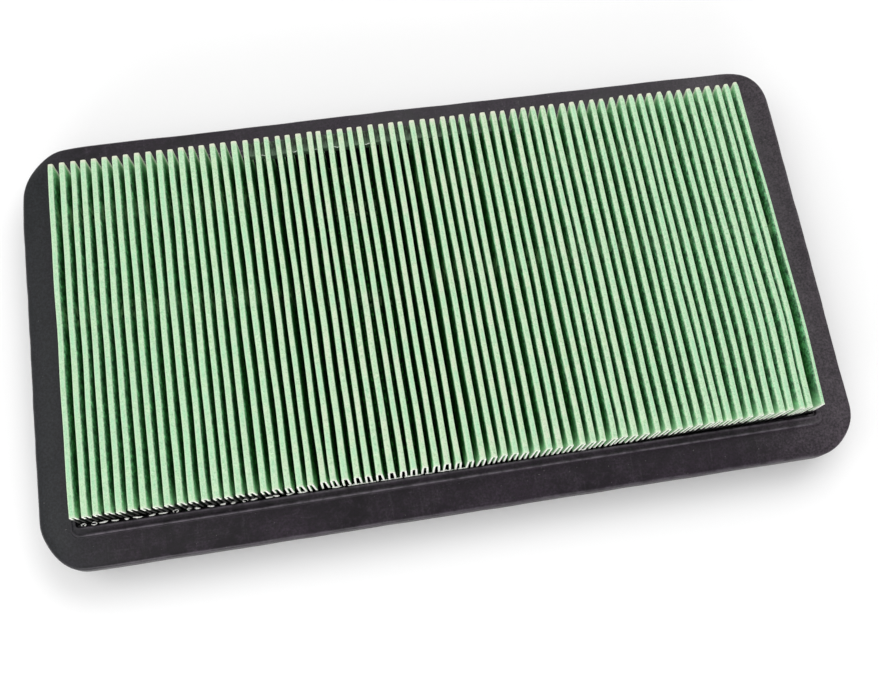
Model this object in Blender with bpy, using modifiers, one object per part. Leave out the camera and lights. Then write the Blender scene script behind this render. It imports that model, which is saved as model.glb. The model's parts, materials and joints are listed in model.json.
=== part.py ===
"""Pleated panel air filter element for a small engine.

A folded sheet of filter paper stands in a moulded polyurethane frame with a wide sealing flange.
Hot-melt glue closes the ends of the clean-side channels and holds the folds apart.

Metres, +Z up. The clean side faces down and the frame's skirt rests on z = 0. The origin is under
the centre of the element, X runs along the row of pleats and each fold runs along Y.
"""

import math

import bmesh
import bpy

MM = 0.001

# Moulded frame
FLANGE_LENGTH = 246.5 * MM
FLANGE_WIDTH = 134.0 * MM
FLANGE_CORNER = 14.5 * MM
FLANGE_THICKNESS = 5.5 * MM
FLANGE_TOP_Z = 14.0 * MM
FLANGE_EDGE_ROUND = 0.9 * MM
COLLAR_HEIGHT = 1.2 * MM
COLLAR_EDGE_ROUND = 0.5 * MM
WALL_THICKNESS = 2.9 * MM
WINDOW_CORNER = 1.0 * MM
WINDOW_GAP = 0.5 * MM
LIP_REACH = 2.6 * MM
LIP_BOTTOM_Z = 0.2 * MM
LIP_TOP_Z = 0.9 * MM

# Folded paper
PLEAT_COUNT = 68
PLEAT_PITCH = 3.27 * MM
PAPER_THICKNESS = 0.45 * MM
FOLD_WIDTH = 1.7 * MM
FOLD_CHAMFER = 0.35 * MM
MEDIA_WIDTH = 108.4 * MM
MEDIA_TOP_Z = 26.5 * MM
MEDIA_BOTTOM_Z = 2.0 * MM

# Hot-melt glue, in the channels that open downwards
GLUE_GAP = 0.15 * MM
STRIP_BOTTOM_Z = 1.15 * MM
EDGE_SEAL_WIDTH = 2.6 * MM
EDGE_SEAL_INSET = 0.9 * MM
SPACER_WIDTH = 1.6 * MM
SPACER_OFFSET = 46.5 * MM
SPACER_TOP_Z = 19.0 * MM

ARC_STEPS = 8

# Half sizes that follow from the above
FOLD_HALF = FOLD_WIDTH / 2
CHANNEL_HALF = FOLD_HALF - PAPER_THICKNESS
MEDIA_HALF_LENGTH = (PLEAT_COUNT - 1) * PLEAT_PITCH / 2 + PLEAT_PITCH / 2 - CHANNEL_HALF
WINDOW_HALF_LENGTH = MEDIA_HALF_LENGTH + WINDOW_GAP
WINDOW_HALF_WIDTH = MEDIA_WIDTH / 2 + WINDOW_GAP


def clear_scene():
    for obj in list(bpy.data.objects):
        bpy.data.objects.remove(obj)


def new_collection(name):
    collection = bpy.data.collections.new(name)
    bpy.context.scene.collection.children.link(collection)
    return collection


def new_material(name, color, roughness):
    material = bpy.data.materials.new(name)
    material.use_nodes = True
    shader = material.node_tree.nodes["Principled BSDF"]
    shader.inputs["Base Color"].default_value = (*color, 1.0)
    shader.inputs["Roughness"].default_value = roughness
    shader.inputs["Metallic"].default_value = 0.0
    return material


def rounded_rectangle(half_length, half_width, radius):
    """Outline points, anticlockwise, with an arc at each corner."""
    points = []
    for corner, (side_x, side_y) in enumerate([(1, 1), (-1, 1), (-1, -1), (1, -1)]):
        centre_x = side_x * (half_length - radius)
        centre_y = side_y * (half_width - radius)
        for step in range(ARC_STEPS + 1):
            angle = (corner + step / ARC_STEPS) * math.pi / 2
            points.append((centre_x + radius * math.cos(angle), centre_y + radius * math.sin(angle)))
    return points


def flat_curve(name, outlines, depth):
    """A filled 2D curve of closed straight-sided outlines, extruded by depth and centred on z = 0."""
    curve = bpy.data.curves.new(name, "CURVE")
    curve.dimensions = "2D"
    curve.fill_mode = "BOTH"
    curve.extrude = depth / 2
    for outline in outlines:
        spline = curve.splines.new("POLY")
        spline.points.add(len(outline) - 1)
        for point, (x, y) in zip(spline.points, outline):
            point.co = (x, y, 0.0, 1.0)
        spline.use_cyclic_u = True
    return bpy.data.objects.new(name, curve)


def mesh_from_curve(curve_object, collection):
    """The curve's shape as a welded mesh object of the same name, in the collection."""
    bpy.context.scene.collection.objects.link(curve_object)
    graph = bpy.context.evaluated_depsgraph_get()
    mesh = bpy.data.meshes.new_from_object(curve_object.evaluated_get(graph))
    matrix = curve_object.matrix_world.copy()
    name = curve_object.name
    bpy.data.objects.remove(curve_object)

    shape = bmesh.new()
    shape.from_mesh(mesh)
    bmesh.ops.remove_doubles(shape, verts=shape.verts, dist=0.001 * MM)
    bmesh.ops.recalc_face_normals(shape, faces=shape.faces)
    shape.to_mesh(mesh)
    shape.free()

    result = bpy.data.objects.new(name, mesh)
    result.matrix_world = matrix
    collection.objects.link(result)
    return result


def ring(name, outer, inner, bottom_z, top_z, edge_round, collection):
    """A flat ring between two outlines, with its edges rounded."""
    curve_object = flat_curve(name, [outer, inner], top_z - bottom_z)
    curve_object.location.z = (top_z + bottom_z) / 2
    bpy.context.view_layer.update()
    result = mesh_from_curve(curve_object, collection)
    if edge_round:
        bevel = result.modifiers.new("rounded_edges", "BEVEL")
        bevel.width = edge_round
        bevel.segments = 3
        bevel.limit_method = "ANGLE"
        bevel.angle_limit = math.radians(40)
    return result


def join_to(target, piece):
    piece.hide_render = True
    piece.display_type = "WIRE"
    union = target.modifiers.new("join_" + piece.name, "BOOLEAN")
    union.operation = "UNION"
    union.solver = "EXACT"
    union.use_self = True
    union.object = piece


def wall_outline(offset):
    """The window's outline moved outwards by offset."""
    return rounded_rectangle(
        WINDOW_HALF_LENGTH + offset,
        WINDOW_HALF_WIDTH + offset,
        max(WINDOW_CORNER + offset, 0.3 * MM),
    )


def build_frame(parts, blanks):
    """One moulding: flange, wall with its collar above the flange, and lip under the paper."""
    flange_outline = rounded_rectangle(FLANGE_LENGTH / 2, FLANGE_WIDTH / 2, FLANGE_CORNER)
    mid_wall = wall_outline(WALL_THICKNESS / 2)
    frame = ring(
        "seal_frame",
        flange_outline,
        mid_wall,
        FLANGE_TOP_Z - FLANGE_THICKNESS,
        FLANGE_TOP_Z,
        FLANGE_EDGE_ROUND,
        parts,
    )
    wall = ring(
        "wall_blank",
        wall_outline(WALL_THICKNESS),
        wall_outline(0.0),
        0.0,
        FLANGE_TOP_Z + COLLAR_HEIGHT,
        COLLAR_EDGE_ROUND,
        blanks,
    )
    lip = ring("lip_blank", mid_wall, wall_outline(-LIP_REACH), LIP_BOTTOM_Z, LIP_TOP_Z, 0.0, blanks)
    join_to(frame, wall)
    join_to(frame, lip)
    frame.data.shade_smooth()
    frame.data.set_sharp_from_angle(angle=math.radians(35))
    frame.data.materials.append(new_material("polyurethane", (0.035, 0.031, 0.034), 0.62))


def pleat_centres():
    return [(index - (PLEAT_COUNT - 1) / 2) * PLEAT_PITCH for index in range(PLEAT_COUNT)]


def crown_points(x, z, upwards):
    """A fold's outside, left to right, as a flat top between two chamfers."""
    down = -FOLD_CHAMFER if upwards else FOLD_CHAMFER
    return [
        (x - FOLD_HALF, z + down),
        (x - FOLD_HALF + FOLD_CHAMFER, z),
        (x + FOLD_HALF - FOLD_CHAMFER, z),
        (x + FOLD_HALF, z + down),
    ]


def channel_points(x, z):
    """A fold's inside, left to right."""
    return [(x - CHANNEL_HALF, z), (x + CHANNEL_HALF, z)]


def pleat_outline():
    """The folded sheet seen along its folds: over the ridges and back under the valleys."""
    centres = pleat_centres()
    valleys = [x + PLEAT_PITCH / 2 for x in centres[:-1]]
    left_end = centres[0] - PLEAT_PITCH / 2
    right_end = centres[-1] + PLEAT_PITCH / 2

    over = [(left_end + CHANNEL_HALF, MEDIA_BOTTOM_Z)]
    for index, x in enumerate(centres):
        over += crown_points(x, MEDIA_TOP_Z, upwards=True)
        if index < len(valleys):
            over += channel_points(valleys[index], MEDIA_BOTTOM_Z + PAPER_THICKNESS)
    over.append((right_end - CHANNEL_HALF, MEDIA_BOTTOM_Z))

    under = [(left_end + FOLD_HALF, MEDIA_BOTTOM_Z)]
    for index, x in enumerate(centres):
        under += channel_points(x, MEDIA_TOP_Z - PAPER_THICKNESS)
        if index < len(valleys):
            under += crown_points(valleys[index], MEDIA_BOTTOM_Z, upwards=False)
    under.append((right_end - FOLD_HALF, MEDIA_BOTTOM_Z))
    return over + under[::-1]


def run_along_y(name, outline, width, centre_y, material, parts):
    """An outline in the XZ plane, extruded along Y by width."""
    piece = flat_curve(name, [outline], width)
    piece.rotation_euler.x = math.pi / 2
    piece.location.y = centre_y
    piece.data.materials.append(material)
    parts.objects.link(piece)


def glue_outline(tooth_top_z):
    """A strip under the folds with a tooth of glue up each channel that opens downwards."""
    channel_top_z = MEDIA_TOP_Z - PAPER_THICKNESS
    half_at_bottom = PLEAT_PITCH / 2 - FOLD_HALF
    strip_top_z = MEDIA_BOTTOM_Z - GLUE_GAP

    def tooth_half(z):
        share = (z - MEDIA_BOTTOM_Z) / (channel_top_z - MEDIA_BOTTOM_Z)
        return half_at_bottom + share * (CHANNEL_HALF - half_at_bottom) - GLUE_GAP

    centres = pleat_centres()
    root_half = tooth_half(strip_top_z)
    tip_half = tooth_half(tooth_top_z)
    outline = [(centres[-1] + root_half, STRIP_BOTTOM_Z)]
    for x in reversed(centres):
        outline += [(x + root_half, strip_top_z), (x + tip_half, tooth_top_z)]
        outline += [(x - tip_half, tooth_top_z), (x - root_half, strip_top_z)]
    outline.append((centres[0] - root_half, STRIP_BOTTOM_Z))
    return outline


def build_glue(parts):
    glue = new_material("hot_melt", (0.72, 0.70, 0.60), 0.35)
    seal_top_z = MEDIA_TOP_Z - PAPER_THICKNESS - GLUE_GAP
    seal_y = MEDIA_WIDTH / 2 - EDGE_SEAL_INSET - EDGE_SEAL_WIDTH / 2
    for side, sign in (("near", -1), ("far", 1)):
        outline = glue_outline(seal_top_z)
        run_along_y("edge_seal_" + side, outline, EDGE_SEAL_WIDTH, sign * seal_y, glue, parts)
    for place, sign in (("near", -1), ("centre", 0), ("far", 1)):
        outline = glue_outline(SPACER_TOP_Z)
        run_along_y("spacer_bead_" + place, outline, SPACER_WIDTH, sign * SPACER_OFFSET, glue, parts)


def main():
    clear_scene()
    parts = new_collection("panel_air_filter")
    blanks = new_collection("frame_blanks")
    build_frame(parts, blanks)
    paper = new_material("filter_paper", (0.33, 0.62, 0.35), 0.85)
    run_along_y("pleated_media", pleat_outline(), MEDIA_WIDTH, 0.0, paper, parts)
    build_glue(parts)


main()
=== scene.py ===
"""The looks of a pleated panel air filter element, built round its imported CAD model.

The folded paper, the moulded frame and the hot-melt glue are each rebuilt as a fine mesh in the
space that the CAD solids hold. Metres, +Z up, as in the CAD model.
"""

import json
import math

import bpy
import numpy as np
from mathutils import Matrix, Vector


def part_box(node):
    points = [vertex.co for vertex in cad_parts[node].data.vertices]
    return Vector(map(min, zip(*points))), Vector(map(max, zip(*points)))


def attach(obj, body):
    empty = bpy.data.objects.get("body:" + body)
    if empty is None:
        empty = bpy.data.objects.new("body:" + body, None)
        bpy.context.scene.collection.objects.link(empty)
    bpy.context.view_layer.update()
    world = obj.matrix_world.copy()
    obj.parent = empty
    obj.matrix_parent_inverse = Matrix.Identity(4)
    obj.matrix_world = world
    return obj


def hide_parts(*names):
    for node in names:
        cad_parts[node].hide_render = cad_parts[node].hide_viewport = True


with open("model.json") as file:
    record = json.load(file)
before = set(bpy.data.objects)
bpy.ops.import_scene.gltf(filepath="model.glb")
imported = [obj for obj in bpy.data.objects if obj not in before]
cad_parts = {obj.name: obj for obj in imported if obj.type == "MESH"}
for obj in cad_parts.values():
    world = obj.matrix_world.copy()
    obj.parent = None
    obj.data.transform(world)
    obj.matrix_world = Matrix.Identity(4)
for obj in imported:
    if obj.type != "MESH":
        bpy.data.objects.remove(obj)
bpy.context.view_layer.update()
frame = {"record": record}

MM = 0.001
SEED = 20

# ---- sizes from the CAD model

MEDIA_LOW, MEDIA_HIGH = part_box("pleated_media")
FRAME_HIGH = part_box("seal_frame")[1]
FLANGE_BOTTOM_Z, FLANGE_TOP_Z = sorted(
    mount["pos_m"][2] for mount in frame["record"]["mounts"] if mount["name"].startswith("flange")
)

PLEAT_COUNT = 68
PAPER = 0.45 * MM
SLOT = 0.8 * MM
FOLD_HALF = SLOT / 2 + PAPER
PITCH = (MEDIA_HIGH[0] - MEDIA_LOW[0] + SLOT) / PLEAT_COUNT
MEDIA_HALF_WIDTH = MEDIA_HIGH[1]
MEDIA_TOP_Z = MEDIA_HIGH[2]
MEDIA_BOTTOM_Z = MEDIA_LOW[2]

WALL = 2.9 * MM
WINDOW_GAP = 0.5 * MM
WINDOW_CORNER = 1.0 * MM
LIP_REACH = 2.6 * MM
LIP_BOTTOM_Z = 0.2 * MM
LIP_TOP_Z = 0.9 * MM
FLANGE_CORNER = 14.5 * MM
COLLAR_TOP_Z = FRAME_HIGH[2]
SHELF_Z = COLLAR_TOP_Z - 1.6 * MM


# ---- small helpers


def mesh_object(name, vertices, faces, smooth_angle=None):
    mesh = bpy.data.meshes.new(name)
    mesh.from_pydata([tuple(v) for v in vertices], [], [tuple(f) for f in faces])
    mesh.update()
    piece = bpy.data.objects.new(name, mesh)
    bpy.context.scene.collection.objects.link(piece)
    if smooth_angle is not None:
        mesh.shade_smooth()
        mesh.set_sharp_from_angle(angle=math.radians(smooth_angle))
    return piece


def point_attribute(piece, name, values):
    attribute = piece.data.attributes.new(name, "FLOAT", "POINT")
    attribute.data.foreach_set("value", np.asarray(values, np.float32))


def smooth_step(value, low, high):
    share = np.clip((value - low) / (high - low), 0.0, 1.0)
    return share * share * (3.0 - 2.0 * share)


def drifting(generator, count, reach):
    """Random numbers in a row of count, each close to its neighbours within reach."""
    raw = generator.normal(size=count + 4 * reach)
    kernel = np.hanning(2 * reach + 1)
    row = np.convolve(raw, kernel / np.linalg.norm(kernel), mode="same")
    return row[2 * reach : 2 * reach + count]


def loft_faces(ring_count, around, closed=False):
    """Quads between following rings of around points, and back to the first ring if closed."""
    index = np.arange(around)
    after = (index + 1) % around
    faces = []
    for ring in range(ring_count if closed else ring_count - 1):
        a, b = ring * around, (ring + 1) % ring_count * around
        faces.append(np.stack([a + index, a + after, b + after, b + index], axis=1))
    return np.concatenate(faces)


def turned_over(quads):
    return quads[:, [0, 3, 2, 1]]


def tube_faces(ring_count, around):
    """Quads along a tube, and a cap on each end."""
    caps = range(around)[::-1], range((ring_count - 1) * around, ring_count * around)
    return [*loft_faces(ring_count, around).tolist(), *caps]


# ---- the folds of the paper


# How far the folds stray from an even row
SHIFT_SPREAD = 0.10 * MM
FAN_SPREAD = 0.07 * MM
LEAN_SPREAD = 0.12 * MM
LEAN_TO_LEFT = 0.15 * MM
WAVE_SIZE = 0.05 * MM
WAVE_LENGTHS = (2.1, 4.3, 7.9)
HALF_TRIM = 0.04 * MM
HALF_SPREAD = 0.05 * MM
DROP_RANGE = 0.3 * MM
END_JITTER = 0.14 * MM
VALLEY_SPREAD = 0.10 * MM
VALLEY_SKEW = 0.9 * MM
VALLEY_RISE_RANGE = 0.3 * MM
BULGE_SPREAD = 0.07 * MM
PANEL_RIPPLE = 0.05 * MM
MIDDLE_FADE = 1.2
MIDDLE_FADE_WIDTH = 0.45
NEAR_BEND = 1.0 * MM
LAST_PINCH = 0.34 * MM
NEXT_TO_LAST_SHIFT = 0.5 * MM
LAST_FANS = (0.1 * MM, 0.3 * MM)

# The crests and the cut ends
NEAR_FLARE = 0.07 * MM
CROWN_RIPPLE = 0.06 * MM
CROWN_CLEARANCE = 0.12 * MM
WORN_END_DROP = 0.3 * MM
NEAR_SPLAY = 0.15 * MM
CROWN_SQUARENESS = 4.5
CROWN_DEPTH = 0.40 * MM
END_SQUARENESS = 2.7
END_DEPTH = 0.55 * MM
FRAYED_EXTRA = 0.10 * MM
FOOT_CLEARANCE = 0.05 * MM
OUTSIDE_DEPTH_SHARE = 0.03
UNDERSIDE_DEPTH_MM = 0.15
STATIONS = 41


def spread(random, size, limit=1.8):
    """Normal random numbers without the far tails."""
    return random.normal(size=size).clip(-limit, limit)


class Folds:
    """Where each ridge and valley runs. y_share is -1 at the near end and 1 at the far end."""

    def __init__(self):
        random = np.random.default_rng(SEED)
        count = PLEAT_COUNT
        self.ridge_x = (np.arange(count) - (count - 1) / 2) * PITCH
        self.along = self.ridge_x / self.ridge_x[-1]
        self.valley_x = self.ridge_x[:-1] + PITCH / 2
        self.shift = SHIFT_SPREAD * spread(random, count)
        self.fan = FAN_SPREAD * spread(random, count)
        self.lean = LEAN_SPREAD * drifting(random, count, 3) - LEAN_TO_LEFT
        self.wave_phase = random.uniform(0, 2 * math.pi, size=(count, 3))
        self.wave_size = WAVE_SIZE * random.uniform(0.4, 1.3, size=(count, 3))
        self.half = FOLD_HALF - HALF_TRIM + HALF_SPREAD * spread(random, count, limit=1.5)
        self.drop = DROP_RANGE * random.uniform(0.0, 1.0, size=count)
        self.end_jitter = END_JITTER * np.abs(random.normal(size=(count, 2))).clip(0, 2)
        self.valley_shift = VALLEY_SPREAD * spread(random, count - 1)
        self.valley_shift += VALLEY_SKEW * (1.0 - (self.valley_x / self.ridge_x[-1]) ** 8)
        self.valley_rise = VALLEY_RISE_RANGE * random.uniform(0.0, 1.0, size=count - 1)
        self.panel_phase = random.uniform(0, 2 * math.pi, size=(2 * count, 2))
        self.panel_bulge = BULGE_SPREAD * spread(random, 2 * count, limit=1.5)
        middle = np.exp(-((self.along / MIDDLE_FADE_WIDTH) ** 2))
        self.tint = random.uniform(-1.0, 1.0, size=count) + MIDDLE_FADE * middle
        self.shift[-2] -= NEXT_TO_LAST_SHIFT
        self.fan[-3:-1] += LAST_FANS

    def wave(self, pleat, y_share):
        return sum(
            self.wave_size[pleat, k] * np.sin(length * y_share * 1.5 + self.wave_phase[pleat, k])
            for k, length in enumerate(WAVE_LENGTHS)
        )

    def near_bend(self, along, y_share):
        """The folds at the right bend back to the left near their near ends."""
        return NEAR_BEND * smooth_step(along, 0.6, 0.88) * smooth_step(-y_share, 0.45, 1.0)

    def pinch(self, pleat, y_share):
        """The last ridge leans outwards, so that only a narrow crest of it lies flat."""
        return LAST_PINCH * (pleat == PLEAT_COUNT - 1) * smooth_step(-y_share, -0.95, -0.3)

    def crown_x(self, pleat, y_share):
        return (
            self.ridge_x[pleat]
            + self.shift[pleat]
            + self.lean[pleat]
            + self.fan[pleat] * y_share
            + self.wave(pleat, y_share)
            + self.pinch(pleat, y_share)
            - self.near_bend(self.along[pleat], y_share)
        )

    def crown_half(self, pleat, y_share):
        near_flare = NEAR_FLARE * smooth_step(-y_share, 0.72, 0.97)
        taper = (0.03 + 0.12 * smooth_step(self.along[pleat], 0.0, 0.6)) * MM
        far_taper = taper * smooth_step(y_share, 0.965, 1.0)
        return self.half[pleat] + near_flare - far_taper - self.pinch(pleat, y_share)

    def crown_z(self, pleat, y_share):
        ripple = CROWN_RIPPLE * np.sin(5.0 * y_share + self.wave_phase[pleat, 0])
        worn_end = WORN_END_DROP * smooth_step(y_share, 0.975, 1.0)
        return MEDIA_TOP_Z - CROWN_CLEARANCE - self.drop[pleat] + ripple - worn_end

    def valley_centre(self, valley, y_share):
        bend = self.near_bend(self.along[valley], y_share)
        wave = 0.4 * self.wave(valley, y_share)
        return self.valley_x[valley] + self.valley_shift[valley] + wave - bend

    def valley_z(self, valley):
        return MEDIA_BOTTOM_Z + self.valley_rise[valley]

    def near_end(self, along):
        """The line of the near cut ends: it bows out in the middle of the row."""
        return -(MEDIA_HALF_WIDTH + (0.38 + 0.05 * along - 0.85 * along**2) * MM)

    def far_end(self, along):
        """The line of the far cut ends: it draws in towards the left."""
        return MEDIA_HALF_WIDTH + (0.3 - 0.7 * ((1.0 - along) / 2) ** 3) * MM

    def far_splay(self, along):
        """How far the tops of the far cut ends lean out over the collar."""
        wide = 0.6 * smooth_step(along, -1.0, -0.1) + 0.35 * smooth_step(along, 0.3, 0.7)
        return (0.6 + wide + 0.4 * smooth_step(along, 0.96, 1.0)) * MM

    def ends_of(self, pleat, z):
        """Y of a fold's two cut ends at a height; each falls short of its line by a little."""
        along = self.along[pleat]
        rise = np.clip((z - COLLAR_TOP_Z) / (MEDIA_TOP_Z - COLLAR_TOP_Z), 0.0, 1.0)
        near = self.near_end(along) + self.end_jitter[pleat, 0] - NEAR_SPLAY * rise
        far = self.far_end(along) - self.end_jitter[pleat, 1] + self.far_splay(along) * rise
        return near, far

    def y_of(self, pleat, y_share, z):
        """Above the collar the cut ends splay out, and the rest of the fold follows less and less."""
        low_near, low_far = self.ends_of(pleat, COLLAR_TOP_Z)
        near, far = self.ends_of(pleat, z)
        far_share = (1.0 + y_share) / 2
        straight = low_near + (low_far - low_near) * far_share
        return straight + (near - low_near) * (1.0 - far_share) ** 4 + (far - low_far) * far_share**4


FOLDS = Folds()

FOLD_STEPS = 8
LEG_STEPS = 4


def fold_curve(centre_x, edge_z, half, squareness, depth):
    """The middle line round one fold, left to right: a superellipse, upside down if depth < 0."""
    points = []
    power = 2.0 / squareness
    for step in range(FOLD_STEPS + 1):
        angle = math.pi * (1.0 - step / FOLD_STEPS)
        side = math.copysign(abs(math.cos(angle)) ** power, math.cos(angle))
        rise = abs(math.sin(angle)) ** power
        points.append((centre_x + half * side, edge_z - depth * (1.0 - rise)))
    return points


def leg_points(start, end, bulge, phase, y_share):
    """Points between two folds, with the slight bow of a loose panel."""
    points = []
    for step in range(1, LEG_STEPS):
        share = step / LEG_STEPS
        ripple = PANEL_RIPPLE * math.sin(6.0 * y_share + phase[0] + 4.0 * share)
        offset = (bulge + ripple) * math.sin(math.pi * share)
        x = start[0] + (end[0] - start[0]) * share + offset
        points.append((x, start[1] + (end[1] - start[1]) * share))
    return points


def middle_line(y_share):
    """The paper's middle line in XZ at one place along the folds."""
    half_paper = PAPER / 2
    roundness = float(smooth_step(-y_share, 0.93, 1.0))
    squareness = CROWN_SQUARENESS + roundness * (END_SQUARENESS - CROWN_SQUARENESS)
    depth = CROWN_DEPTH + roundness * (END_DEPTH - CROWN_DEPTH)
    left_x = -(PLEAT_COUNT * PITCH / 2) + SLOT / 2 + half_paper + FOOT_CLEARANCE
    left_foot = (left_x, MEDIA_BOTTOM_Z)
    right_foot = (-left_foot[0], MEDIA_BOTTOM_Z)
    line = [left_foot]
    for pleat in range(PLEAT_COUNT):
        crown = fold_curve(
            FOLDS.crown_x(pleat, y_share),
            FOLDS.crown_z(pleat, y_share) - half_paper,
            FOLDS.crown_half(pleat, y_share) - half_paper,
            squareness,
            depth,
        )
        if pleat < PLEAT_COUNT - 1:
            following = fold_curve(
                FOLDS.valley_centre(pleat, y_share),
                FOLDS.valley_z(pleat) + half_paper,
                FOLD_HALF - half_paper,
                END_SQUARENESS,
                -END_DEPTH,
            )
        else:
            following = [right_foot]
        for panel, (start, points) in enumerate([(line[-1], crown), (crown[-1], following)]):
            number = 2 * pleat + panel
            bulge, phase = FOLDS.panel_bulge[number], FOLDS.panel_phase[number]
            line += leg_points(start, points[0], bulge, phase, y_share) + points
    return np.array(line)


def thickened(line, thickness):
    """The sheet's upper and lower side, half a thickness either way from its middle line."""
    ahead = np.roll(line, -1, axis=0) - line
    behind = line - np.roll(line, 1, axis=0)
    ahead[-1], behind[0] = behind[-1], ahead[0]
    ahead /= np.linalg.norm(ahead, axis=1)[:, None]
    behind /= np.linalg.norm(behind, axis=1)[:, None]
    along = ahead + behind
    along /= np.linalg.norm(along, axis=1)[:, None]
    normal = np.stack([-along[:, 1], along[:, 0]], axis=1)
    ahead_normal = np.stack([-ahead[:, 1], ahead[:, 0]], axis=1)
    widen = 1.0 / np.clip((normal * ahead_normal).sum(axis=1), 0.6, 1.0)
    offset = normal * (thickness / 2) * widen[:, None]
    return line + offset, line - offset


def pleat_of_point(count):
    """The ridge that each point of the middle line belongs to."""
    per_pleat = (count - 1) / PLEAT_COUNT
    return np.minimum((np.arange(count) / per_pleat).astype(int), PLEAT_COUNT - 1)


def build_media():
    """The folded sheet, lofted along Y from its outline at each station.

    Its materials read millimetres below the crown (below_mm) and from the tips of the folds on the
    same side (depth_mm, which sets the painted shade and is next to nothing on the two outermost
    panels), the place across the crest, the fold's tint, and millimetres from each cut end.
    """
    shares = np.sin(np.linspace(-math.pi / 2, math.pi / 2, STATIONS))
    rings = []
    marks = {"depth_mm": [], "below_mm": [], "across": [], "tint": [], "near_mm": [], "far_mm": []}
    outside = LEG_STEPS + 2
    for y_share in shares:
        y_share = float(y_share)
        line = middle_line(y_share)
        frayed = FRAYED_EXTRA * float(smooth_step(-y_share, 0.985, 1.0))
        upper, lower = thickened(line, PAPER + frayed)
        owners = pleat_of_point(len(line))
        owners = np.concatenate([owners, owners[::-1]])
        outline = np.concatenate([upper, lower[::-1]])
        x, z = outline[:, 0], outline[:, 1]
        y = FOLDS.y_of(owners, y_share, z)
        near, far = FOLDS.ends_of(owners, z)
        rings.append(np.stack([x, y, z], axis=1))
        crown_z, crown_x, crown_half = (
            np.array([measure(pleat, y_share) for pleat in range(PLEAT_COUNT)])
            for measure in (FOLDS.crown_z, FOLDS.crown_x, FOLDS.crown_half)
        )
        below = (crown_z[owners] - z) / MM
        depth = below.copy()
        count = len(line)
        # The painted shade reads depth_mm: almost none on the two outermost panels, and measured up
        # from the bottom on the underside.
        depth[:outside] *= OUTSIDE_DEPTH_SHARE
        depth[count - outside : count] *= OUTSIDE_DEPTH_SHARE
        depth[count:] = (z[count:] - MEDIA_BOTTOM_Z) / MM - UNDERSIDE_DEPTH_MM
        marks["below_mm"].append(below)
        marks["depth_mm"].append(depth)
        marks["across"].append(np.clip((x - crown_x[owners]) / crown_half[owners], -1.2, 1.2))
        marks["tint"].append(FOLDS.tint[owners])
        marks["near_mm"].append((y - near) / MM)
        marks["far_mm"].append((far - y) / MM)
    around = len(rings[0])
    side_faces = loft_faces(STATIONS, around)
    step = np.arange(around // 2 - 1)
    last = (STATIONS - 1) * around
    near_cap = np.stack([step, around - 1 - step, around - 2 - step, step + 1], axis=1)
    far_cap = np.stack([step + 1, around - 2 - step, around - 1 - step, step], axis=1) + last
    every_face = np.concatenate([side_faces, near_cap, far_cap])
    piece = mesh_object("folded_paper", np.concatenate(rings), every_face, smooth_angle=50)
    for name, values in marks.items():
        point_attribute(piece, name, np.concatenate(values))
    piece.data.materials.append(paper_material())
    piece.data.materials.append(cut_edge_material())
    slots = np.zeros(len(every_face), np.int32)
    slots[len(side_faces) :] = 1
    piece.data.polygons.foreach_set("material_index", slots)
    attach(piece, "root")
    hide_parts("pleated_media")


# ---- materials


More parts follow.
